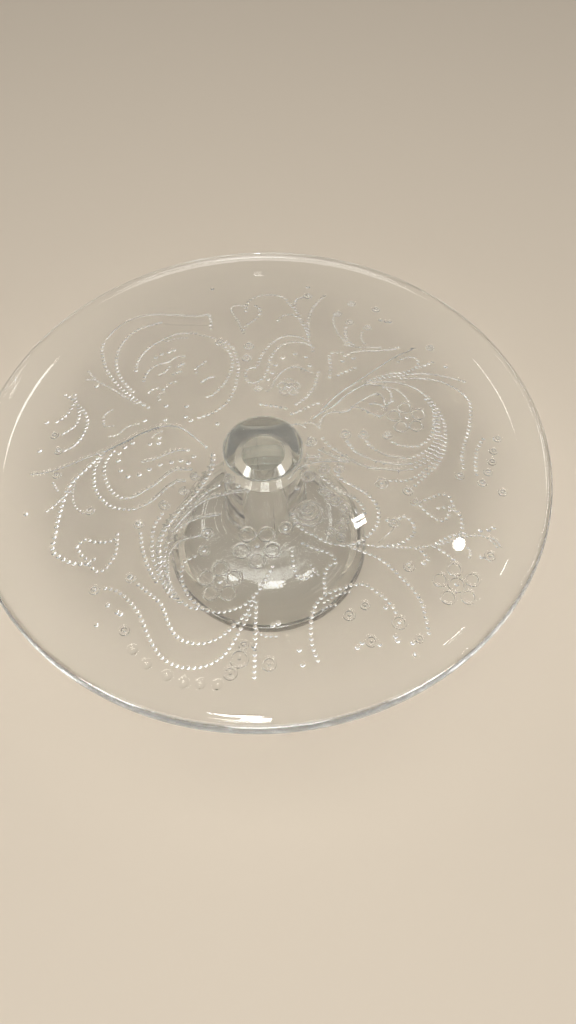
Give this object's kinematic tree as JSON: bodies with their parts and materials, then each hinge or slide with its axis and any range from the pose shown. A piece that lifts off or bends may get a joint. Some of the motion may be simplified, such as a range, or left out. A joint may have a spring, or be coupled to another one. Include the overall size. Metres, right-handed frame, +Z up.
{
  "type": "footed glass plate",
  "caption": "Low pedestal plate in clear pressed glass, with a turned-up round rim and a hollow bell foot; the base of a cheese dome set.",
  "frame": {"origin": "on the surface it stands on, under the middle of the foot", "axes": "+Z up along the stem's axis; the round glass looks the same from every side, and +Y is towards the back"},
  "size_m": [0.2, 0.2, 0.075],
  "materials": {
    "plate_glass": "clear soda-lime glass, pressed and fire-polished",
    "pedestal_glass": "clear soda-lime glass, pressed in a two-part mould",
    "clear_adhesive": "water-clear cured adhesive"
  },
  "bodies": {
    "root": {"plate": "plate_glass", "pedestal": "pedestal_glass", "bond_film": "clear_adhesive"}
  },
  "joints": []
}
